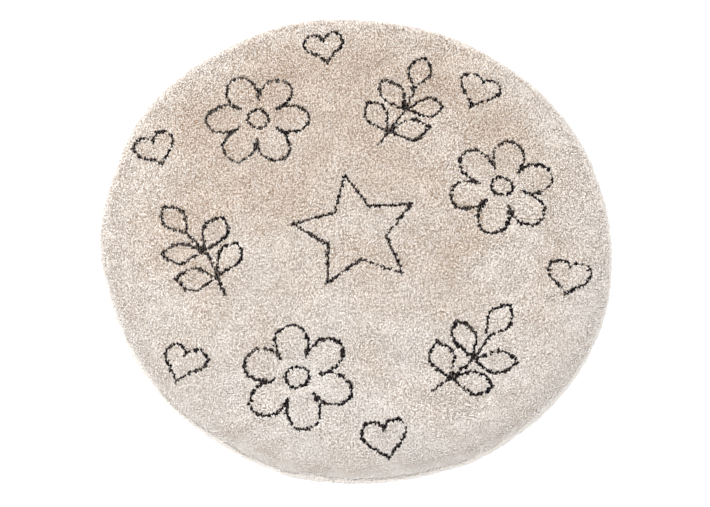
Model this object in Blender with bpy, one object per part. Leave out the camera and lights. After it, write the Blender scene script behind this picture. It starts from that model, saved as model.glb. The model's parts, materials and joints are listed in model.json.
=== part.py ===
"""Round shag rug: one lumpy slab of deep pile, with locks of yarn at its rim.

Metres, +Z up. The rug lies on z = 0, and the origin is in the middle of its underside.
"""
import math
import random
from collections import namedtuple

import bmesh
import bpy
from mathutils import Vector, noise

# Sizes of the whole rug
MEAN_RADIUS = 0.600
PILE_HEIGHT = 0.026
LOCK_REACH = 0.011

# The rug isn't quite round: waves round its rim, their share of the radius, where one peaks
RimWave = namedtuple("RimWave", "count share peak_deg")
RIM_WAVES = (
    RimWave(2, 0.014, 135.0),
    RimWave(3, 0.003, 25.0),
    RimWave(4, 0.002, 53.0),
    RimWave(5, 0.002, 36.0),
    RimWave(9, 0.003, 22.0),
    RimWave(10, 0.002, 3.0),
)

# The pile's top is rings of triangles round the middle, each ring six cells longer than the last
RING_COUNT = 25
SECTOR = math.radians(60.0)
FIRST_CORNER = math.radians(30.0)
ROUNDING_SLACK = 1e-4

# Along one cell of the rim: where each lock begins and ends, with a gap on either side
LOCK_ENDS = (0.05, 0.45, 0.55, 0.95)

# Rounded shoulder of the pile, from the roots of the locks inwards
ShoulderRing = namedtuple("ShoulderRing", "inward height")
SHOULDER = (
    ShoulderRing(0.000, 0.0160),
    ShoulderRing(0.007, 0.0220),
    ShoulderRing(0.020, 0.0254),
)

# Unevenness of the top, from combed swells down to single tufts: width and rise of each kind
Lump = namedtuple("Lump", "width rise")
LUMPS = (
    Lump(0.170, 0.0030),
    Lump(0.062, 0.0060),
    Lump(0.031, 0.0060),
)
RIM_UNEVENNESS = 0.40

# The two stretches of a lock, root to tip: share of its reach, width and height kept at its end
LockStretch = namedtuple("LockStretch", "reach width height")
LOCK_STRETCHES = (
    LockStretch(0.60, 0.92, 0.66),
    LockStretch(0.40, 0.52, 0.45),
)
SHORTEST_LOCK = 0.60
LOCK_SIDE_LEAN = 0.24

SEED = 7
YARN_COLOUR = (0.672, 0.591, 0.515, 1.0)
YARN_ROUGHNESS = 0.95


def clear_scene():
    for thing in list(bpy.data.objects):
        bpy.data.objects.remove(thing, do_unlink=True)


def rim_radius(angle):
    """Distance from the middle to the tips of the longest locks."""
    share = 1.0
    for wave in RIM_WAVES:
        share += wave.share * math.cos(wave.count * (angle - math.radians(wave.peak_deg)))
    return MEAN_RADIUS * share


def hexagon_lattice():
    """A flat hexagon of equal triangles, its rim edges cut where locks will begin and end."""
    mesh = bmesh.new()
    bmesh.ops.create_circle(mesh, cap_ends=True, cap_tris=True, segments=6, radius=RING_COUNT)
    bmesh.ops.subdivide_edges(mesh, edges=mesh.edges[:], cuts=RING_COUNT - 1, use_grid_fill=True)
    rim = [edge for edge in mesh.edges if edge.is_boundary]
    bmesh.ops.subdivide_edges(mesh, edges=rim, cuts=len(LOCK_ENDS))
    return mesh


def place_on_hexagon(point):
    """A hexagon point's ring number, its sector's angle, and how many cells it lies along that."""
    turn = (math.atan2(point.y, point.x) - FIRST_CORNER) / SECTOR
    sector = FIRST_CORNER + SECTOR * math.floor(turn + ROUNDING_SLACK)
    start = Vector((math.cos(sector), math.sin(sector)))
    end = Vector((math.cos(sector + SECTOR), math.sin(sector + SECTOR)))
    cells_along = start.cross(point) / start.cross(end)
    cells_back = point.cross(end) / start.cross(end)
    return cells_back + cells_along, sector, cells_along


def at_lock_ends(cells_along):
    """Shifts a point of the rim, evenly spaced in its cell, to the lock end it stands for."""
    cell = math.floor(cells_along + ROUNDING_SLACK)
    step = round((cells_along - cell) * (len(LOCK_ENDS) + 1))
    return cell + LOCK_ENDS[step - 1] if step else cell


def unevenness(x, y):
    return sum(lump.rise * noise.noise(Vector((x, y, SEED)) / lump.width) for lump in LUMPS)


def pile_point(point):
    """Where a point of the flat hexagon lies on the top of the pile."""
    ring, sector, cells_along = place_on_hexagon(point)
    rings_in = RING_COUNT - round(ring)
    if rings_in == 0:
        cells_along = at_lock_ends(cells_along)
    angle = sector + SECTOR * cells_along / max(ring, 1.0)
    roots = rim_radius(angle) - LOCK_REACH
    if rings_in < len(SHOULDER):
        radius = roots - SHOULDER[rings_in].inward
        height = SHOULDER[rings_in].height
    else:
        level_rings = RING_COUNT - len(SHOULDER) + 1
        radius = (roots - SHOULDER[-1].inward) * ring / level_rings
        height = PILE_HEIGHT
    x = radius * math.cos(angle)
    y = radius * math.sin(angle)
    rise = unevenness(x, y)
    if rings_in == 0:
        rise *= RIM_UNEVENNESS
    return Vector((x, y, height + rise))


def raise_pile(mesh):
    for vert in mesh.verts:
        vert.co = pile_point(vert.co.xy)


def drop_to_floor(mesh):
    """Walls the pile's rim down to the floor, fills the underside, and returns the wall's faces."""
    rim = [edge for edge in mesh.edges if edge.is_boundary]
    walled = bmesh.ops.extrude_edge_only(mesh, edges=rim)["geom"]
    for vert in walled:
        if isinstance(vert, bmesh.types.BMVert):
            vert.co.z = 0.0
    underside = [edge for edge in mesh.edges if edge.is_boundary]
    bmesh.ops.holes_fill(mesh, edges=underside, sides=0)
    return [face for face in walled if isinstance(face, bmesh.types.BMFace)]


def is_lock_root(face):
    """Lock roots are wider than the gaps between them."""
    foot = [vert.co.xy for vert in face.verts if vert.co.z == 0.0]
    cell_width = SECTOR * MEAN_RADIUS / RING_COUNT
    narrowest = (LOCK_ENDS[1] - LOCK_ENDS[0]) / 2
    return (foot[0] - foot[1]).length > cell_width * narrowest


def middle_of(face):
    return sum((vert.co.xy for vert in face.verts), Vector((0.0, 0.0))) / len(face.verts)


def grow_lock(mesh, root, draw):
    """Draws a tapering lock out of its root, with its lower edge on the floor."""
    out = middle_of(root).normalized()
    side = Vector((-out.y, out.x))
    reach = LOCK_REACH * draw.uniform(SHORTEST_LOCK, 1.0)
    way = reach * (out + side * draw.uniform(-LOCK_SIDE_LEAN, LOCK_SIDE_LEAN))
    face = root
    for stretch in LOCK_STRETCHES:
        face = bmesh.ops.extrude_discrete_faces(mesh, faces=[face])["faces"][0]
        middle = middle_of(face)
        for vert in face.verts:
            narrowed = side * (vert.co.xy - middle).dot(side) * (1.0 - stretch.width)
            place = vert.co.xy + way * stretch.reach - narrowed
            vert.co = Vector((place.x, place.y, vert.co.z * stretch.height))


def grow_locks(mesh, walls):
    draw = random.Random(SEED)
    roots = [face for face in walls if is_lock_root(face)]
    roots.sort(key=lambda face: math.atan2(*middle_of(face)))
    for root in roots:
        grow_lock(mesh, root, draw)


def centre_on_box(mesh):
    """Puts the origin midway between the rug's widest points, in the plane of its underside."""
    across = [vert.co.x for vert in mesh.verts]
    along = [vert.co.y for vert in mesh.verts]
    middle = Vector((min(across) + max(across), min(along) + max(along), 0.0)) / 2
    bmesh.ops.translate(mesh, vec=-middle, verts=mesh.verts[:])


def yarn_material():
    material = bpy.data.materials.new("cream pile yarn")
    material.use_nodes = True
    shader = material.node_tree.nodes["Principled BSDF"]
    shader.inputs["Base Color"].default_value = YARN_COLOUR
    shader.inputs["Roughness"].default_value = YARN_ROUGHNESS
    shader.inputs["Metallic"].default_value = 0.0
    return material


def build_rug():
    mesh = hexagon_lattice()
    raise_pile(mesh)
    grow_locks(mesh, drop_to_floor(mesh))
    centre_on_box(mesh)
    bmesh.ops.recalc_face_normals(mesh, faces=mesh.faces[:])
    pile = bpy.data.meshes.new("shag_pile")
    mesh.to_mesh(pile)
    mesh.free()
    pile.shade_smooth()
    pile.materials.append(yarn_material())
    collection = bpy.data.collections.new("round_shag_rug")
    bpy.context.scene.collection.children.link(collection)
    collection.objects.link(bpy.data.objects.new("shag_pile", pile))


clear_scene()
build_rug()
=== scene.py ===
"""The round shag rug as it looks: a dense mat, its cut pile of cream yarn, and outline motifs in
dark yarn. Metres, +Z up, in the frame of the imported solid."""

import json
import math
from collections import namedtuple

import bmesh
import bpy
import numpy as np
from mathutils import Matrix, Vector, noise
from mathutils.bvhtree import BVHTree

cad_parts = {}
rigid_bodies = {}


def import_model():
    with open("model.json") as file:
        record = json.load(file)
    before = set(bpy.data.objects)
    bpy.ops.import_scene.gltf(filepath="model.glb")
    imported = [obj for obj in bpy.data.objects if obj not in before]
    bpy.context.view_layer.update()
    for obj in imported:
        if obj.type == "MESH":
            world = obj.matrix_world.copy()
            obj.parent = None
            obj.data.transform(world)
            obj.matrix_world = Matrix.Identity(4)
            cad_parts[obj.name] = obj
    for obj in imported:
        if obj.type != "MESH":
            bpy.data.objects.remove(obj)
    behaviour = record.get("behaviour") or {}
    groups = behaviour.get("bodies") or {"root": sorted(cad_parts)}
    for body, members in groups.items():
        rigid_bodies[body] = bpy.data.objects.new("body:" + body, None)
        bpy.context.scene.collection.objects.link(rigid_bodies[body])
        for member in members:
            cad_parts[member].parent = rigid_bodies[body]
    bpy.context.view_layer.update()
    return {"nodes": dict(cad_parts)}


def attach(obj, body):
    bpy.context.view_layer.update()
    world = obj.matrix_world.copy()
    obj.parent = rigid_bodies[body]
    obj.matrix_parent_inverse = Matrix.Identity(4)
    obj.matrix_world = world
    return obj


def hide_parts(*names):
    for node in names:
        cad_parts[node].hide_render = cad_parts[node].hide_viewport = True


# The photograph's frame and how the camera stands to it
PHOTO_WIDTH_PX = 710
CAMERA_ELEVATION = math.radians(65.5)
CAMERA_DISTANCE = 3.41
CAMERA_FOCAL_PX = 1469.0
SENSOR_WIDTH_MM = 36.0
CAMERA_AIM = Vector((0.000, -0.052, 0.013))

# The mat under the yarn ends: the woven backing with the dense lower part of the pile
MAT_INSET = 0.0085
MAT_EDGE_HEIGHT = 0.0030
MAT_SHOULDER = 0.017
LOCK_ROOM = 0.016
MAT_RINGS = 72
RINGS_CROWD_OUTWARD = 0.35
SECTOR = math.radians(60.0)
FIRST_CORNER = math.radians(30.0)
ROUNDING_SLACK = 1e-4
RIM_DIRECTIONS = 180
RIM_WINDOW = math.radians(3.0)
MAT_SMOOTHING = 0.5
UNDERSIDE_SLOT = 1

# Yarn ends, and the tufts that they grow in
PILE_DEPTH = 0.0110
YARN_RADIUS = 0.00175
YARN_REACH = 0.0125
YARN_SPACING = 0.00200
LINE_WIDTH = 0.0064
TUFT_WIDTH = 0.0054
TUFT_UNEVENNESS = 0.75
STRAY = 0.0012
LOWEST_ROOT = 0.0018

# A yarn end from root to tip, within the pile and at its rim, where it shows all along its
# length: shares of its reach, of its radius and of its bend
YarnRing = namedtuple("YarnRing", "height radius bend")
PILE_YARN_RINGS = (
    YarnRing(-0.12, 0.00, 0.0),
    YarnRing(0.88, 1.00, 0.7),
    YarnRing(1.00, 0.00, 1.0),
)
RIM_YARN_RINGS = (
    YarnRing(-0.12, 0.00, 0.0),
    YarnRing(0.22, 0.90, 0.1),
    YarnRing(0.88, 0.92, 0.7),
    YarnRing(1.00, 0.00, 1.0),
)
PILE_YARN_SIDES = 3
RIM_YARN_SIDES = 4
PILE_YARN_BENDS = (0.10, 0.30, 0.50)
RIM_YARN_BEND = 0.40

# The pile in bands of like size, each one piece: where they part along Y
BAND_EDGES = (-0.70, -0.295, -0.095, 0.095, 0.295, 0.70)

# Seeds of the random draws
WOBBLE_SEED = 5
SCATTER_SEED = 3
STRAY_SEED = 11
OWN_WAY_SEED = 21
ASTRAY_SEED = 22
SPIN_SEED = 31
THICKNESS_SEED = 41
REACH_SEED = 42
SHADE_SEED = 51
TONE_SEED = 52
KIND_SEED = 61

# The map that holds each yarn end's colours in a cell of its own
MAP_NAME = "OFBake"
CELL_MARGIN = 0.08

PILE_BODY = "root"
PILE_NODE = "shag_pile"


class Wire:
    """A node's output. Arithmetic on it adds the Math nodes that work it out."""

    def __init__(self, tree, socket):
        self.tree = tree
        self.socket = socket

    def __getitem__(self, name):
        """Another output of the same node."""
        outputs = [out for out in self.socket.node.outputs if out.enabled]
        return Wire(self.tree, next(out for out in outputs if out.name == name))

    def __add__(self, other):
        return self.tree.maths("ADD", self, other)

    __radd__ = __add__

    def __mul__(self, other):
        return self.tree.maths("MULTIPLY", self, other)

    __rmul__ = __mul__

    def __sub__(self, other):
        return self.tree.maths("SUBTRACT", self, other)

    def __rsub__(self, other):
        return self.tree.maths("SUBTRACT", other, self)

    def __truediv__(self, other):
        return self.tree.maths("DIVIDE", self, other)

    def __rtruediv__(self, other):
        return self.tree.maths("DIVIDE", other, self)

    def __pow__(self, other):
        return self.tree.maths("POWER", self, other)

    def __mod__(self, other):
        return self.tree.maths("FLOORED_MODULO", self, other)

    def __lt__(self, other):
        return self.tree.maths("LESS_THAN", self, other)

    def __gt__(self, other):
        return self.tree.maths("GREATER_THAN", self, other)


class Tree:
    """A node tree being built."""

    def __init__(self, tree):
        self.tree = tree

    def add(self, kind, settings=None, values=()):
        """Adds a node: its settings first, then a value or a wire for each socket."""
        node = self.tree.nodes.new(kind)
        for name, setting in (settings or {}).items():
            setattr(node, name, setting)
        shown = [socket for socket in node.inputs if socket.enabled]
        keyed = values.items() if isinstance(values, dict) else enumerate(values)
        for key, value in keyed:
            by_name = isinstance(key, str)
            socket = next(s for s in shown if s.name == key) if by_name else shown[key]
            if isinstance(value, Wire):
                self.tree.links.new(value.socket, socket)
            else:
                socket.default_value = value
        outputs = [out for out in node.outputs if out.enabled]
        return Wire(self, outputs[0]) if outputs else None

    def maths(self, operation, *values):
        return self.add("ShaderNodeMath", {"operation": operation}, values)

    def vector(self, operation, *values):
        return self.add("ShaderNodeVectorMath", {"operation": operation}, values)

    def scaled(self, vector, factor):
        settings = {"operation": "SCALE"}
        return self.add("ShaderNodeVectorMath", settings, {"Vector": vector, "Scale": factor})

    def joined(self, x, y, z):
        return self.add("ShaderNodeCombineXYZ", None, (x, y, z))

    def split(self, vector):
        return self.add("ShaderNodeSeparateXYZ", None, [vector])

    def mix(self, factor, first, second, kind="RGBA"):
        values = {"Factor": factor, "A": first, "B": second}
        return self.add("ShaderNodeMix", {"data_type": kind}, values)

    def tinted(self, factor, colour, tint):
        settings = {"data_type": "RGBA", "blend_type": "MULTIPLY"}
        return self.add("ShaderNodeMix", settings, {"Factor": factor, "A": colour, "B": tint})

    def ranged(self, value, low, high, low_result, high_result):
        values = (value, low, high, low_result, high_result)
        return self.add("ShaderNodeMapRange", None, values)

    def noise(self, place, scale, detail=1.0):
        values = {"Vector": place, "Scale": scale, "Detail": detail}
        return self.add("ShaderNodeTexNoise", None, values)

    def random(self, low, high, seed, kind="FLOAT"):
        values = {"Min": low, "Max": high, "Seed": seed}
        return self.add("FunctionNodeRandomValue", {"data_type": kind}, values)

    def store(self, geometry, kind, domain, name, value):
        settings = {"data_type": kind, "domain": domain}
        values = {"Geometry": geometry, "Name": name, "Value": value}
        return self.add("GeometryNodeStoreNamedAttribute", settings, values)

    def stored(self, kind, name):
        return self.add("GeometryNodeInputNamedAttribute", {"data_type": kind}, [name])


def circle_point(radius, angle):
    return radius * math.cos(angle), radius * math.sin(angle)


def new_mesh_object(name, mesh):
    thing = bpy.data.objects.new(name, mesh)
    bpy.context.scene.collection.objects.link(thing)
    return thing


# Materials


def new_material(name):
    material = bpy.data.materials.new(name)
    material.use_nodes = True
    material.node_tree.nodes.clear()
    return material, Tree(material.node_tree)


def finish_material(tree, sockets):
    shader = tree.add("ShaderNodeBsdfPrincipled", None, sockets)
    tree.add("ShaderNodeOutputMaterial", None, {"Surface": shader})


# The root colours are painted shade deep in the pile, darker and warmer where it stands tossed
YarnLook = namedtuple("YarnLook", (
    "name", "combed_root", "tossed_root", "combed_dull", "tossed_dull", "pale", "warm", "rim",
    "groove", "gloss", "sheen",
))
CREAM_YARN = YarnLook(
    "cream yarn",
    combed_root=(0.60, 0.52, 0.46, 1.0),
    tossed_root=(0.58, 0.38, 0.23, 1.0),
    combed_dull=(0.36, 0.30, 0.25, 1.0),
    tossed_dull=(0.45, 0.30, 0.18, 1.0),
    pale=(0.98, 0.965, 0.952, 1.0),
    warm=(0.985, 0.940, 0.875, 1.0),
    rim=(0.92, 0.917, 0.908, 1.0),
    groove=0.06,
    gloss=0.15,
    sheen=0.12,
)
DARK_YARN = YarnLook(
    "dark yarn",
    combed_root=(0.003, 0.002, 0.003, 1.0),
    tossed_root=(0.004, 0.003, 0.003, 1.0),
    combed_dull=(0.005, 0.003, 0.004, 1.0),
    tossed_dull=(0.005, 0.003, 0.004, 1.0),
    pale=(0.016, 0.012, 0.016, 1.0),
    warm=(1.00, 0.98, 0.96, 1.0),
    rim=(1.00, 1.00, 1.00, 1.0),
    groove=0.25,
    gloss=0.06,
    sheen=0.01,
)
YARN_PLIES = 2
YARN_TURNS = 1.5
ROOT_SHADE_FADE = 1.4
LEAST_WARMTH = 0.1
WARMTH_GROWTH = 1.5
FIBRE_SCALE = 900.0
FIBRE_SHADE = 0.25


def attribute(tree, name):
    return tree.add("ShaderNodeAttribute", {"attribute_name": name})["Fac"]


def yarn_material(look):
    """Two-ply yarn with painted shade: darker at its root deep in the pile and in the grooves between
    its plies, paler at its cut end, each end lit or shaded its own way.
    """
    material, tree = new_material(look.name)
    along = attribute(tree, "along")
    around = attribute(tree, "around")
    shade = attribute(tree, "shade")
    toss = attribute(tree, "toss")
    inner = attribute(tree, "inner")
    place = tree.add("ShaderNodeTexCoord")["Object"]
    fibres = tree.noise(place, FIBRE_SCALE, 2.0)
    # Darker in the grooves between the plies: a painted shade in the twist
    ply = tree.maths("SINE", (around * YARN_PLIES + along * YARN_TURNS) * math.tau) * 0.5 + 0.5
    # Each end's tip runs from the shaded tips' colours to pale: painted light and shade, end by end
    tip = tree.mix(shade, tree.mix(toss, look.combed_dull, look.tossed_dull), look.pale)
    # Darker towards the root, deep in the pile: a painted shade between the ends, less of it at the
    # rim
    lit = 1 - (1 - along ** ROOT_SHADE_FADE) * inner - look.groove * (1 - ply)
    lit = tree.ranged(lit - FIBRE_SHADE * (fibres - 0.5), 0.0, 1.0, 0.0, 1.0)
    root = tree.mix(toss, look.combed_root, look.tossed_root)
    warmth = (toss ** WARMTH_GROWTH + LEAST_WARMTH) * attribute(tree, "tone") * 2
    colour = tree.tinted(warmth, tree.mix(lit, root, tip), look.warm)
    # Greyer at the rim: a painted shade on the pile's side
    colour = tree.tinted(1 - inner, colour, look.rim)
    relief = tree.add("ShaderNodeBump", None, {
        "Strength": 0.5,
        "Distance": 0.0004,
        "Height": ply + fibres * 0.5,
    })
    finish_material(tree, {
        "Base Color": colour,
        "Roughness": 0.80 + 0.18 * fibres,
        "Normal": relief,
        "Specular IOR Level": look.gloss,
        "Sheen Weight": look.sheen,
        "Sheen Roughness": 0.5,
    })
    return material


# The mat's colours, darker than the yarn as painted shade deep between the ends, and the heights
# between which it pales towards the floor at the rim
MOTTLE_SCALE = 260.0
SHADED_MOTTLE_DEEP = (0.44, 0.36, 0.29, 1.0)
SHADED_MOTTLE_PALE = (0.70, 0.61, 0.53, 1.0)
WALL_PALE = (0.90, 0.87, 0.83, 1.0)
PALE_WALL_HEIGHTS = (0.008, 0.014)


def mat_material():
    """The dense lower part of the pile, seen only between the yarn ends, coloured dark as painted
    shade.
    """
    material, tree = new_material("dense pile roots")
    place = tree.add("ShaderNodeTexCoord")["Object"]
    mottle = tree.noise(place, MOTTLE_SCALE, 2.0)
    # Dark brown all over the mat's top: painted shade between the yarn ends, mottled
    colour = tree.mix(mottle, SHADED_MOTTLE_DEEP, SHADED_MOTTLE_PALE)
    at_floor = tree.ranged(tree.split(place)["Z"], *PALE_WALL_HEIGHTS, 1.0, 0.0)
    colour = tree.mix(at_floor, colour, WALL_PALE)
    relief = tree.add("ShaderNodeBump", None, {"Strength": 0.8, "Distance": 0.001, "Height": mottle})
    finish_material(tree, {
        "Base Color": colour,
        "Roughness": 0.85 + 0.12 * mottle,
        "Normal": relief,
        "Specular IOR Level": 0.2,
    })
    return material


WEAVE_PITCH = 0.0042
TAPE_ROUNDNESS = 0.5
SIZE_SCALE = 60.0
TAPE_SHADED = (0.25, 0.18, 0.11, 1.0)
TAPE_PALE = (0.66, 0.56, 0.42, 1.0)


def backing_material():
    """Plain weave of flat tan tapes, over and under, coated with size."""
    material, tree = new_material("woven backing")
    place = tree.add("ShaderNodeTexCoord")["Object"]
    parts = tree.split(place)
    across = parts["X"] / WEAVE_PITCH
    along = parts["Y"] / WEAVE_PITCH
    parity = (tree.maths("FLOOR", across) + tree.maths("FLOOR", along)) % 2.0
    warp = tree.maths("ABSOLUTE", tree.maths("SINE", across * math.pi))
    weft = tree.maths("ABSOLUTE", tree.maths("SINE", along * math.pi))
    tapes = tree.mix(parity, warp, weft, "FLOAT") ** TAPE_ROUNDNESS
    size = tree.noise(place, SIZE_SCALE, 3.0)
    fibres = tree.noise(place, FIBRE_SCALE, 2.0)
    # Darker where the tapes dip at their edges, a painted shade in the weave, and where size and
    # fibres vary
    lit = tree.ranged(tapes * 0.7 + fibres * 0.3 + size * 0.3, 0.2, 1.1, 0.0, 1.0)
    colour = tree.mix(lit, TAPE_SHADED, TAPE_PALE)
    relief = tree.add("ShaderNodeBump", None, {
        "Strength": 0.9,
        "Distance": 0.0008,
        "Height": tapes + fibres * 0.3,
    })
    finish_material(tree, {
        "Base Color": colour,
        "Roughness": 0.70 + 0.25 * size,
        "Normal": relief,
        "Specular IOR Level": 0.3,
    })
    return material


FLOOR_CLOUD_SCALE = 2.0
FLOOR_DEEP = (0.93, 0.93, 0.93, 1.0)
FLOOR_PALE = (0.95, 0.95, 0.95, 1.0)


def floor_material():
    material, tree = new_material("pale floor")
    place = tree.add("ShaderNodeTexCoord")["Object"]
    colour = tree.mix(tree.noise(place, FLOOR_CLOUD_SCALE), FLOOR_DEEP, FLOOR_PALE)
    finish_material(tree, {"Base Color": colour, "Roughness": 0.8})
    return material


# The mat


def rim_reach(node):
    """How far the solid's locks reach in each of RIM_DIRECTIONS directions, smoothed."""
    points = np.array([vert.co.xy for vert in node.data.vertices])
    angles = np.arctan2(points[:, 1], points[:, 0])
    radii = np.hypot(points[:, 0], points[:, 1])
    reach = []
    for direction in np.arange(RIM_DIRECTIONS) * math.tau / RIM_DIRECTIONS:
        turn = (angles - direction + math.pi) % math.tau - math.pi
        reach.append(radii[np.abs(turn) < RIM_WINDOW].max())
    reach = np.array(reach)
    return (np.roll(reach, 1) + 2 * reach + np.roll(reach, -1)) / 4


def reach_at(reach, angle):
    place = angle / math.tau * RIM_DIRECTIONS % RIM_DIRECTIONS
    low = int(place) % RIM_DIRECTIONS
    share = place - int(place)
    return reach[low] * (1 - share) + reach[(low + 1) % RIM_DIRECTIONS] * share


def place_on_hexagon(point):
    """How far out a point of the flat hexagon lies, in rings, and in which direction once round."""
    turn = (math.atan2(point.y, point.x) - FIRST_CORNER) / SECTOR
    sector = FIRST_CORNER + SECTOR * math.floor(turn + ROUNDING_SLACK)
    start = Vector((math.cos(sector), math.sin(sector)))
    end = Vector((math.cos(sector + SECTOR), math.sin(sector + SECTOR)))
    cells_along = start.cross(point) / start.cross(end)
    cells_back = point.cross(end) / start.cross(end)
    ring = cells_along + cells_back
    return ring, sector + SECTOR * cells_along / max(ring, 1.0)


def mat_height(inward, pile_top):
    """Height of the mat's top: a round shoulder up to just under the yarn ends."""
    level = pile_top - PILE_DEPTH
    share = min(1.0, max(0.0, inward / MAT_SHOULDER))
    return MAT_EDGE_HEIGHT + (level - MAT_EDGE_HEIGHT) * math.sqrt(1 - (1 - share) ** 2)


def mat_point(point, reach, surface):
    """Where a point of the flat hexagon lies on the mat's top."""
    ring, angle = place_on_hexagon(point)
    outermost = reach_at(reach, angle)
    rim = outermost - MAT_INSET
    share = ring / MAT_RINGS
    radius = rim * (1 - (1 - share) * (1 - RINGS_CROWD_OUTWARD * share))
    above = (*circle_point(min(radius, outermost - LOCK_ROOM), angle), 1.0)
    pile_top = surface.ray_cast(Vector(above), Vector((0, 0, -1)))[0].z
    return Vector((*circle_point(radius, angle), mat_height(rim - radius, pile_top)))


def wall_to_floor(mesh):
    """Walls the mat's rim down to the floor, face by face in a set order, and fills its underside.

    The roots are scattered by the faces' order, so it has to be the same in each run.
    """
    rim = [edge for edge in mesh.edges if edge.is_boundary]
    feet = {}
    for edge in rim:
        for vert in edge.verts:
            if vert not in feet:
                feet[vert] = mesh.verts.new((vert.co.x, vert.co.y, 0.0))
    for edge in rim:
        near, far = edge.verts
        mesh.faces.new((near, far, feet[far], feet[near]))
    open_edges = [edge for edge in mesh.edges if edge.is_boundary]
    for face in bmesh.ops.holes_fill(mesh, edges=open_edges, sides=0)["faces"]:
        face.material_index = UNDERSIDE_SLOT


def make_mat(node):
    """A closed slab under the yarn ends, whose top follows the solid's."""
    surface = BVHTree.FromObject(node, bpy.context.evaluated_depsgraph_get())
    reach = rim_reach(node)
    mesh = bmesh.new()
    bmesh.ops.create_circle(mesh, cap_ends=True, cap_tris=True, segments=6, radius=MAT_RINGS)
    bmesh.ops.subdivide_edges(mesh, edges=mesh.edges[:], cuts=MAT_RINGS - 1, use_grid_fill=True)
    for vert in mesh.verts:
        vert.co = mat_point(vert.co.xy, reach, surface)
    inner = [vert for vert in mesh.verts if not vert.is_boundary]
    bmesh.ops.smooth_vert(mesh, verts=inner, factor=MAT_SMOOTHING, use_axis_z=True)
    wall_to_floor(mesh)
    bmesh.ops.recalc_face_normals(mesh, faces=mesh.faces[:])
    made = bpy.data.meshes.new("pile_mat")
    mesh.to_mesh(made)
    mesh.free()
    made.materials.append(mat_material())
    made.materials.append(backing_material())
    made.shade_smooth()
    return new_mesh_object("pile_mat", made)


# Motifs in dark yarn, each a list of lines about the origin, in shares of the motif's size


STAR_POINTS = 5
STAR_HOLLOW = 0.48


def star():
    """A five-pointed star's outline."""
    points = []
    for corner in range(2 * STAR_POINTS):
        radius = 1.0 if corner % 2 == 0 else STAR_HOLLOW
        points.append(circle_point(radius, math.radians(90 + 180 / STAR_POINTS * corner)))
    return [points + points[:1]]


PETALS = 6
PETAL_FOOT = 0.42
PETAL_ROUNDNESS = 0.55
PETAL_STEPS = 120
DAISY_MIDDLE = 0.20
MIDDLE_STEPS = 16


def daisy():
    """Round petals about a small middle."""
    petals = []
    for step in range(PETAL_STEPS + 1):
        angle = math.tau * step / PETAL_STEPS
        swell = abs(math.cos(PETALS / 2 * angle)) ** PETAL_ROUNDNESS
        petals.append(circle_point(PETAL_FOOT + (1 - PETAL_FOOT) * swell, angle))
    turns = [math.tau * step / MIDDLE_STEPS for step in range(MIDDLE_STEPS + 1)]
    return [petals, [circle_point(DAISY_MIDDLE, turn) for turn in turns]]


HEART_STEPS = 40
HEART_UNIT = 17.0
HEART_RISE = 2.0


def heart():
    """The heart curve that sines and cosines give, brought to about unit size."""
    outline = []
    for step in range(HEART_STEPS + 1):
        t = math.tau * step / HEART_STEPS
        x = 16 * math.sin(t) ** 3
        y = 13 * math.cos(t) - 5 * math.cos(2 * t) - 2 * math.cos(3 * t) - math.cos(4 * t)
        outline.append((x / HEART_UNIT, (y + HEART_RISE) / HEART_UNIT))
    return [outline]


LEAF_STEPS = 14
LEAF_WIDTH = 0.28
LEAF_TAPER = 1.35


def leaf(foot, angle, length):
    """A pointed leaf's outline, out from its narrow foot and back."""
    there_and_back = [(step, 1) for step in range(LEAF_STEPS + 1)]
    there_and_back += [(step, -1) for step in range(LEAF_STEPS, -1, -1)]
    points = []
    for step, side in there_and_back:
        share = step / LEAF_STEPS
        along = length * share
        out = side * LEAF_WIDTH * length * math.sin(math.pi * share ** LEAF_TAPER)
        points.append((
            foot[0] + along * math.cos(angle) - out * math.sin(angle),
            foot[1] + along * math.sin(angle) + out * math.cos(angle),
        ))
    return points


STEM_STEPS = 12
STEM_LENGTH = 1.30
STEM_BOW = 0.14
STEM_SWING = 2.4
LEAF_LENGTH = 0.72
LEAF_PAIR_STEPS = (3, 8)
LEAF_SPREAD = 58
END_LEAF_ANGLE = 95


def sprig():
    """A bent stem with two pairs of leaves and one at its end."""
    shares = [step / STEM_STEPS for step in range(STEM_STEPS + 1)]
    stem = [(STEM_BOW * math.sin(STEM_SWING * share), STEM_LENGTH * share - 1.0) for share in shares]
    lines = [stem]
    for at in LEAF_PAIR_STEPS:
        for side in (1, -1):
            lines.append(leaf(stem[at], math.radians(90 - LEAF_SPREAD * side), LEAF_LENGTH))
    lines.append(leaf(stem[-1], math.radians(END_LEAF_ANGLE), LEAF_LENGTH))
    return lines


Motif = namedtuple("Motif", "shape x y size turn_deg")
MOTIFS = (
    Motif(star, 0.000, 0.000, 0.150, 10),
    Motif(daisy, 0.345, 0.115, 0.125, 15),
    Motif(sprig, 0.110, 0.350, 0.135, -25),
    Motif(daisy, -0.235, 0.300, 0.125, 0),
    Motif(sprig, -0.375, -0.050, 0.135, 35),
    Motif(daisy, -0.130, -0.360, 0.125, 40),
    Motif(sprig, 0.260, -0.290, 0.135, -40),
    Motif(heart, 0.300, 0.375, 0.052, -22),
    Motif(heart, -0.075, 0.500, 0.052, 8),
    Motif(heart, -0.475, 0.215, 0.052, 24),
    Motif(heart, -0.385, -0.330, 0.052, -18),
    Motif(heart, 0.065, -0.505, 0.052, 10),
    Motif(heart, 0.490, -0.120, 0.052, -12),
)
HAND_WOBBLE = 0.0035
WOBBLE_SCALE = 22.0


def wobbled(point):
    """A point of a line as a hand would draw it."""
    shift = noise.noise_vector(point * WOBBLE_SCALE) * HAND_WOBBLE
    return Vector((point.x + shift.x, point.y + shift.y, 0.0))


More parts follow.
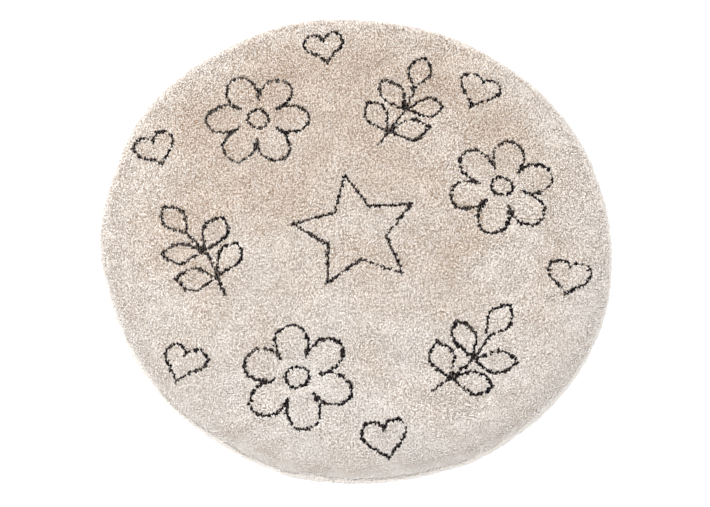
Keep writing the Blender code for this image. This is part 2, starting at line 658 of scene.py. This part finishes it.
def motif_lines():
    """The middles of all the dark lines, as edges in the floor's plane."""
    noise.seed_set(WOBBLE_SEED)
    points = []
    edges = []
    for motif in MOTIFS:
        turn = math.radians(motif.turn_deg)
        for line in motif.shape():
            start = len(points)
            for x, y in line:
                across = x * math.cos(turn) - y * math.sin(turn)
                along = x * math.sin(turn) + y * math.cos(turn)
                place = Vector((motif.x + across * motif.size, motif.y + along * motif.size, 0.0))
                points.append(wobbled(place))
            edges += [(n, n + 1) for n in range(start, len(points) - 1)]
    mesh = bpy.data.meshes.new("motif_lines")
    mesh.from_pydata(points, edges, [])
    return new_mesh_object("motif_lines", mesh)


# The pile


def make_yarn_end(name, rings, sides, bend):
    """A yarn end of unit radius and reach along +Z: a grid rolled into a bent spindle."""
    mesh = bmesh.new()
    cells = mesh.loops.layers.uv.new(MAP_NAME)
    around = mesh.loops.layers.float.new("around")
    along = mesh.verts.layers.float.new("along")
    last = len(rings) - 1
    margin = Vector((CELL_MARGIN, CELL_MARGIN))
    bmesh.ops.create_grid(mesh, x_segments=sides, y_segments=last, size=0.5, calc_uvs=True)
    for face in mesh.faces:
        for corner in face.loops:
            corner[around] = corner[cells].uv.x
            corner[cells].uv = margin + corner[cells].uv * (1 - 2 * CELL_MARGIN)
    for vert in mesh.verts:
        ring = rings[round((vert.co.y + 0.5) * last)]
        x, y = circle_point(ring.radius, math.tau * (vert.co.x + 0.5))
        vert[along] = max(ring.height, 0.0)
        vert.co = Vector((x + bend * ring.bend, y, ring.height))
    bmesh.ops.remove_doubles(mesh, verts=mesh.verts[:], dist=ROUNDING_SLACK)
    bmesh.ops.recalc_face_normals(mesh, faces=mesh.faces[:])
    made = bpy.data.meshes.new(name)
    mesh.to_mesh(made)
    mesh.free()
    return bpy.data.objects.new(name, made)


def make_yarn_ends():
    """The kinds of yarn end, in the order of their names: the pile's, and last the rim's."""
    kinds = bpy.data.collections.new("yarn_ends")
    for number, bend in enumerate(PILE_YARN_BENDS):
        name = f"pile_end_{number + 1}"
        kinds.objects.link(make_yarn_end(name, PILE_YARN_RINGS, PILE_YARN_SIDES, bend))
    kinds.objects.link(make_yarn_end("rim_end", RIM_YARN_RINGS, RIM_YARN_SIDES, RIM_YARN_BEND))
    return kinds


PILE_INPUTS = {
    "Mat": "NodeSocketGeometry",
    "Yarn ends": "NodeSocketCollection",
    "Motif lines": "NodeSocketObject",
    "Yarn": "NodeSocketMaterial",
    "Dark": "NodeSocketBool",
    "Band start": "NodeSocketFloat",
    "Band end": "NodeSocketFloat",
    "Spacing": "NodeSocketFloat",
    "Yarn radius": "NodeSocketFloat",
    "Yarn reach": "NodeSocketFloat",
    "Line width": "NodeSocketFloat",
    "Seed": "NodeSocketInt",
}


# Which faces of the mat bear yarn, and how many roots are tried for each one that finds room
FACES_DOWN = -0.5
LOWEST_FACE = 0.0010
ROOTS_TRIED = 3.5


def scatter_roots(tree, given):
    """Points all over the mat's top and shoulder, each with the direction that it faces."""
    spacing = given["Spacing"]
    place = tree.split(tree.add("GeometryNodeInputPosition"))
    up = tree.split(tree.add("GeometryNodeInputNormal"))["Z"]
    roots = tree.add("GeometryNodeDistributePointsOnFaces", {"distribute_method": "POISSON"}, {
        "Mesh": given["Mat"],
        "Selection": (up > FACES_DOWN) * (place["Z"] > LOWEST_FACE),
        "Distance Min": spacing,
        "Density Max": ROOTS_TRIED / (spacing * spacing),
        "Seed": given["Seed"],
    })
    return tree.store(roots, "FLOAT_VECTOR", "POINT", "facing", roots["Normal"])


def tuft_at(tree, place):
    """The tuft that a yarn end grows in: how far from its middle, and where that is."""
    least, most = (-STRAY, -STRAY, 0.0), (STRAY, STRAY, 0.0)
    stray = tree.random(least, most, STRAY_SEED, "FLOAT_VECTOR")
    strayed = tree.split(tree.vector("ADD", place, stray))
    flat = tree.joined(strayed["X"], strayed["Y"], 0.0)
    values = {"Vector": flat, "Scale": 1 / TUFT_WIDTH, "Randomness": TUFT_UNEVENNESS}
    return tree.add("ShaderNodeTexVoronoi", {"voronoi_dimensions": "2D"}, values)


def is_dark_root(tree, given, place):
    """True in the tufts whose middles lie on the motif lines, so that the lines run unevenly."""
    lines = tree.add("GeometryNodeObjectInfo", None, {"Object": given["Motif lines"]})["Geometry"]
    parts = tree.split(tuft_at(tree, place)["Position"])
    middle = tree.joined(parts["X"], parts["Y"], 0.0)
    near = tree.add("GeometryNodeProximity", {"target_element": "EDGES"},
                    {"Geometry": lines, "Sample Position": middle})["Distance"]
    return near < given["Line width"] / 2


TRUTH_TOLERANCE = 0.1


def own_roots(tree, given, roots, place):
    """The roots of one piece: a band of the cream pile, or all of the dark pile."""
    parts = tree.split(place)
    in_band = (parts["Y"] > given["Band start"]) * (parts["Y"] < given["Band end"])
    dark = is_dark_root(tree, given, place)
    own_yarn = tree.maths("COMPARE", dark, given["Dark"], TRUTH_TOLERANCE)
    own = in_band * own_yarn * (parts["Z"] > LOWEST_ROOT)
    return tree.add("GeometryNodeSeparateGeometry", None, (roots, own))


# Tossing grows towards the upper left, in swells, and is less near the rim
TOSS_RISE = (-0.15, 0.75)
TOSS_SWELL_SCALE = 6.0
TOSS_SPAN = 0.55
CALM_RIM = (0.46, 0.57)
RIM_TOSSING = 0.50


def tossing(tree, place):
    """From 0, where the pile lies combed, to 1, where it stands tossed."""
    parts = tree.split(place)
    swells = tree.noise(place, TOSS_SWELL_SCALE) - 0.5
    rise = parts["X"] * TOSS_RISE[0] + parts["Y"] * TOSS_RISE[1] + swells
    calm = tree.ranged(tree.vector("LENGTH", place), *CALM_RIM, 1.0, RIM_TOSSING)
    return tree.ranged(rise, -TOSS_SPAN, TOSS_SPAN, 0.0, 1.0) * calm


# How far the yarn ends lean, how the lean drifts, how far each end strays from it, and between
# which distances from the middle it fades, so that the ends point outwards at the rim. UPRIGHT
# turns level ones upwards
COMBED_LEAN = (0.25, 0.38, 0.0)
TOSSED_LEAN = (-0.02, -0.26, 0.0)
LEAN_DRIFT = (0.6, 0.6, 0.0)
LEAN_DRIFT_SCALE = 9.0
COMBED_ASTRAY = 0.08
TOSSED_ASTRAY = 0.20
LEAN_FADE = (0.50, 0.585)
UPRIGHT = 0.5

# The lowest ends droop towards the floor: from none to this much between these heights
RIM_DROOP = 0.5
DROOP_HEIGHTS = (0.015, 0.003)
LOWEST_TIP = 0.0020


def yarn_aim(tree, place, facing, tossed, level, reach):
    """The direction a yarn end grows in: out of the mat, with the nap, and its own way a little."""
    turn = tree.random(0.0, math.tau, OWN_WAY_SEED)
    astray = tree.random(0.0, 1.0, ASTRAY_SEED) * level
    astray = astray * tree.ranged(tossed, 0.0, 1.0, COMBED_ASTRAY, TOSSED_ASTRAY)
    own_way = tree.joined(tree.maths("COSINE", turn) * astray, tree.maths("SINE", turn) * astray, 0.0)
    nap = tree.mix(tossed, COMBED_LEAN, TOSSED_LEAN, "VECTOR")
    drift = tree.noise(place, LEAN_DRIFT_SCALE)["Color"]
    drift = tree.vector("SUBTRACT", drift, (0.5, 0.5, 0.5))
    drift = tree.vector("MULTIPLY", drift, LEAN_DRIFT)
    inwards = tree.ranged(tree.vector("LENGTH", place), *LEAN_FADE, 1.0, 0.0)
    nap = tree.scaled(tree.vector("ADD", nap, drift), level * inwards)
    droop = tree.ranged(tree.split(place)["Z"], *DROOP_HEIGHTS, 0.0, RIM_DROOP)
    upright = tree.vector("ADD", facing, tree.joined(0.0, 0.0, level * UPRIGHT - droop))
    aim = tree.vector("ADD", tree.vector("ADD", upright, nap), own_way)
    parts = tree.split(tree.vector("NORMALIZE", aim))
    lowest = (LOWEST_TIP - tree.split(place)["Z"]) / reach
    return tree.joined(parts["X"], parts["Y"], tree.maths("MAXIMUM", parts["Z"], lowest))


def kept_off_floor(tree, pile):
    """Flattens what would dip into the floor, as yarn that rests on it is."""
    parts = tree.split(tree.add("GeometryNodeInputPosition"))
    place = tree.joined(parts["X"], parts["Y"], tree.maths("MAXIMUM", parts["Z"], 0.0))
    return tree.add("GeometryNodeSetPosition", None, {"Geometry": pile, "Position": place})


def own_cells(tree, pile, count):
    """Moves each yarn end's map into a cell of its own in a square of cells."""
    side = tree.maths("CEIL", tree.maths("SQRT", count))
    number = tree.stored("INT", "cell")
    cell = tree.joined(number % side, tree.maths("FLOOR", number / side), 0.0)
    corner = tree.vector("ADD", tree.stored("FLOAT_VECTOR", MAP_NAME), cell)
    corner = tree.scaled(corner, 1 / side)
    return tree.store(pile, "FLOAT2", "CORNER", MAP_NAME, corner)


# How level the mat is under a yarn end, from 0 at the rim to 1, and how far that end takes the
# pile's painted inner shade, its darker roots and the spread of its shaded tips: between which upward
# shares of the mat's facing each grows. Less level than RIM_LEVEL, the end is of the rim's kind
LEVEL_FACING = (0.25, 0.95)
INNER_FACING = (0.62, 0.95)
LEAST_INNER = 0.1
RIM_LEVEL = 0.60

# Where a tuft's middle gives way to its edge, as shares of its width
TUFT_CORE = (0.15, 0.60)

# Sizes of the yarn ends, as shares: at the rim, in combed and tossed pile, at a tuft's edge, and
# between which bounds each differs by itself
RIM_REACH = 0.62
RIM_THICKNESS = 1.4
RIM_LOCKS_SCALE = 75.0
COMBED_THICKNESS = 1.04
TOSSED_THICKNESS = 0.80
TUFT_EDGE_DIP = 0.08
REACH_RANGE = (0.88, 1.08)
THICKNESS_RANGE = (0.80, 1.18)

# Shades of the yarn ends, a painted light and shade: a middle one and how far they differ, in combed
# and in tossed pile, by the end, lit or shaded its own way, and by where in its tuft it grows, darker
# towards the tuft's edge as painted shade between tufts
COMBED_SHADE = 0.62
TOSSED_SHADE = 0.88
COMBED_CONTRAST = 0.14
TOSSED_CONTRAST = 1.34
OWN_SHADE_CONTRAST = 0.8
TUFT_SHADE_CONTRAST = 1.2


def yarn_sizes(tree, given, place, tossed, level, core):
    """Each yarn end's radius and reach."""
    locks = 1 + (tree.noise(place, RIM_LOCKS_SCALE) - 0.5) * (1 - level)
    reach = given["Yarn reach"] * tree.ranged(level, 0.0, 1.0, RIM_REACH, 1.0) * locks
    reach = reach * tree.random(*REACH_RANGE, REACH_SEED) * (1 - TUFT_EDGE_DIP * (1 - core))
    thick = given["Yarn radius"] * tree.ranged(level, 0.0, 1.0, RIM_THICKNESS, 1.0)
    thick = thick * tree.ranged(tossed, 0.0, 1.0, COMBED_THICKNESS, TOSSED_THICKNESS)
    return thick * tree.random(*THICKNESS_RANGE, THICKNESS_SEED), reach


def yarn_kind(tree, level):
    """Which of the yarn ends grows from a root."""
    rim_kind = len(PILE_YARN_BENDS)
    pile_kind = tree.maths("FLOOR", tree.random(0.0, rim_kind - ROUNDING_SLACK, KIND_SEED))
    return tree.mix(level < RIM_LEVEL, pile_kind, float(rim_kind), "FLOAT")


def yarn_turn(tree, aim):
    """Each yarn end turned to its aim and spun about itself."""
    turned = tree.add("FunctionNodeAlignRotationToVector", {"axis": "Z"}, {"Vector": aim})
    values = {"Axis": (0.0, 0.0, 1.0), "Angle": tree.random(0.0, math.tau, SPIN_SEED)}
    spin = tree.add("FunctionNodeAxisAngleToRotation", None, values)
    values = {"Rotation": turned, "Rotate By": spin}
    return tree.add("FunctionNodeRotateRotation", {"rotation_space": "LOCAL"}, values)


def coloured(tree, ends, tossed, inner, core):
    """Stores on each yarn end what its material reads."""
    # Painted light and shade: each end lit or shaded its own way and darker at its tuft's edge, more
    # so where tossed
    contrast = tree.ranged(tossed, 0.0, 1.0, COMBED_CONTRAST, TOSSED_CONTRAST) * inner
    own = (tree.random(0.0, 1.0, SHADE_SEED) - 0.5) * OWN_SHADE_CONTRAST
    differs = own + (core - 0.5) * TUFT_SHADE_CONTRAST
    shade = tree.ranged(tossed, 0.0, 1.0, COMBED_SHADE, TOSSED_SHADE) + differs * contrast
    ends = tree.store(ends, "FLOAT", "INSTANCE", "shade", shade)
    ends = tree.store(ends, "FLOAT", "INSTANCE", "tone", tree.random(0.0, 1.0, TONE_SEED))
    ends = tree.store(ends, "FLOAT", "INSTANCE", "toss", tossed * inner)
    ends = tree.store(ends, "FLOAT", "INSTANCE", "inner", inner)
    return tree.store(ends, "INT", "INSTANCE", "cell", tree.add("GeometryNodeInputIndex"))


def pile_tree():
    """Yarn ends on the mat's top, those on the motif lines or the others, for one piece."""
    group = bpy.data.node_groups.new("cut pile", "GeometryNodeTree")
    for name, kind in PILE_INPUTS.items():
        group.interface.new_socket(name=name, in_out="INPUT", socket_type=kind)
    group.interface.new_socket(name="Pile", in_out="OUTPUT", socket_type="NodeSocketGeometry")
    tree = Tree(group)
    given = tree.add("NodeGroupInput")
    place = tree.add("GeometryNodeInputPosition")
    roots = own_roots(tree, given, scatter_roots(tree, given), place)
    facing = tree.stored("FLOAT_VECTOR", "facing")
    level = tree.ranged(tree.split(facing)["Z"], *LEVEL_FACING, 0.0, 1.0)
    inner = tree.ranged(tree.split(facing)["Z"], *INNER_FACING, LEAST_INNER, 1.0)
    core = tree.ranged(tuft_at(tree, place)["Distance"], *TUFT_CORE, 1.0, 0.0)
    tossed = tossing(tree, place)
    thick, reach = yarn_sizes(tree, given, place, tossed, level, core)
    kinds = tree.add("GeometryNodeCollectionInfo", None,
                     {"Collection": given["Yarn ends"], "Separate Children": True})
    ends = tree.add("GeometryNodeInstanceOnPoints", None, {
        "Points": roots,
        "Instance": kinds,
        "Pick Instance": True,
        "Instance Index": yarn_kind(tree, level),
        "Rotation": yarn_turn(tree, yarn_aim(tree, place, facing, tossed, level, reach)),
        "Scale": tree.joined(thick, thick, reach),
    })
    ends = coloured(tree, ends, tossed, inner, core)
    count = tree.add("GeometryNodeAttributeDomainSize", {"component": "POINTCLOUD"}, [roots])
    pile = tree.add("GeometryNodeRealizeInstances", None, [ends])
    pile = own_cells(tree, kept_off_floor(tree, pile), count)
    pile = tree.add("GeometryNodeSetShadeSmooth", None, [pile])
    pile = tree.add("GeometryNodeSetMaterial", None, {"Geometry": pile, "Material": given["Yarn"]})
    tree.add("NodeGroupOutput", None, [pile])
    return group


def grow_pile(name, mat, group, values):
    """A plain mesh object of the pile's tree with these inputs."""
    host = new_mesh_object(name, mat.data)
    modifier = host.modifiers.new("pile", "NODES")
    modifier.node_group = group
    for item in group.interface.items_tree:
        if item.in_out == "INPUT" and item.name in values:
            modifier[item.identifier] = values[item.name]
    bpy.context.view_layer.update()
    evaluated = host.evaluated_get(bpy.context.evaluated_depsgraph_get())
    mesh = bpy.data.meshes.new_from_object(evaluated)
    host.modifiers.remove(modifier)
    mesh.name = name
    host.data = mesh
    return host


def make_pile(mat):
    group = pile_tree()
    lines = motif_lines()
    kinds = make_yarn_ends()
    shared = {
        "Yarn ends": kinds,
        "Motif lines": lines,
        "Spacing": YARN_SPACING,
        "Yarn radius": YARN_RADIUS,
        "Yarn reach": YARN_REACH,
        "Line width": LINE_WIDTH,
        "Seed": SCATTER_SEED,
    }
    cream = dict(shared, Yarn=yarn_material(CREAM_YARN), Dark=False)
    dark = dict(shared, Yarn=yarn_material(DARK_YARN), Dark=True)
    pieces = []
    for number, (start, end) in enumerate(zip(BAND_EDGES, BAND_EDGES[1:])):
        band = {"Band start": start, "Band end": end}
        pieces.append(grow_pile(f"cream_pile_{number + 1}", mat, group, cream | band))
    whole = {"Band start": BAND_EDGES[0], "Band end": BAND_EDGES[-1]}
    pieces.append(grow_pile("dark_pile", mat, group, dark | whole))
    bpy.data.objects.remove(lines)
    for kind in list(kinds.objects):
        bpy.data.objects.remove(kind)
    return pieces


# The stage


FLOOR_WIDTH = 12.0
FLOOR_HEIGHT = -0.001


def make_floor():
    bpy.ops.mesh.primitive_plane_add(size=FLOOR_WIDTH, location=(0.0, 0.0, FLOOR_HEIGHT))
    floor = bpy.context.object
    floor.name = "floor"
    floor.data.materials.append(floor_material())


def aim_at(thing, target):
    thing.rotation_euler = (target - thing.location).to_track_quat("-Z", "Y").to_euler()


def add_camera():
    camera = bpy.data.objects.new("camera", bpy.data.cameras.new("camera"))
    bpy.context.scene.collection.objects.link(camera)
    back = Vector((0.0, -math.cos(CAMERA_ELEVATION), math.sin(CAMERA_ELEVATION)))
    camera.location = CAMERA_AIM + back * CAMERA_DISTANCE
    aim_at(camera, CAMERA_AIM)
    camera.data.sensor_width = SENSOR_WIDTH_MM
    camera.data.lens = SENSOR_WIDTH_MM * CAMERA_FOCAL_PX / PHOTO_WIDTH_PX
    bpy.context.scene.camera = camera


StudioLight = namedtuple("StudioLight", "name place size power")
STUDIO_LIGHTS = (
    StudioLight("key", Vector((-0.4, -0.55, 3.4)), 1.2, 91.0),
    StudioLight("fill", Vector((-2.2, 0.8, 2.4)), 2.6, 30.0),
)
SURROUNDINGS_STRENGTH = 1.0


def add_light(given):
    light = bpy.data.objects.new(given.name, bpy.data.lights.new(given.name, "AREA"))
    bpy.context.scene.collection.objects.link(light)
    light.location = given.place
    light.data.size = given.size
    light.data.energy = given.power
    aim_at(light, Vector((0.0, 0.0, 0.0)))


def add_lights():
    for given in STUDIO_LIGHTS:
        add_light(given)
    world = bpy.data.worlds.new("soft studio")
    bpy.context.scene.world = world
    world.use_nodes = True
    back = world.node_tree.nodes["Background"]
    back.inputs["Color"].default_value = (1.0, 1.0, 1.0, 1.0)
    back.inputs["Strength"].default_value = SURROUNDINGS_STRENGTH
    bpy.context.scene.view_settings.view_transform = "Standard"


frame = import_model()
mat = make_mat(frame["nodes"][PILE_NODE])
pile = make_pile(mat)
for piece in [mat, *pile]:
    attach(piece, PILE_BODY)
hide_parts(PILE_NODE)
make_floor()
add_camera()
add_lights()
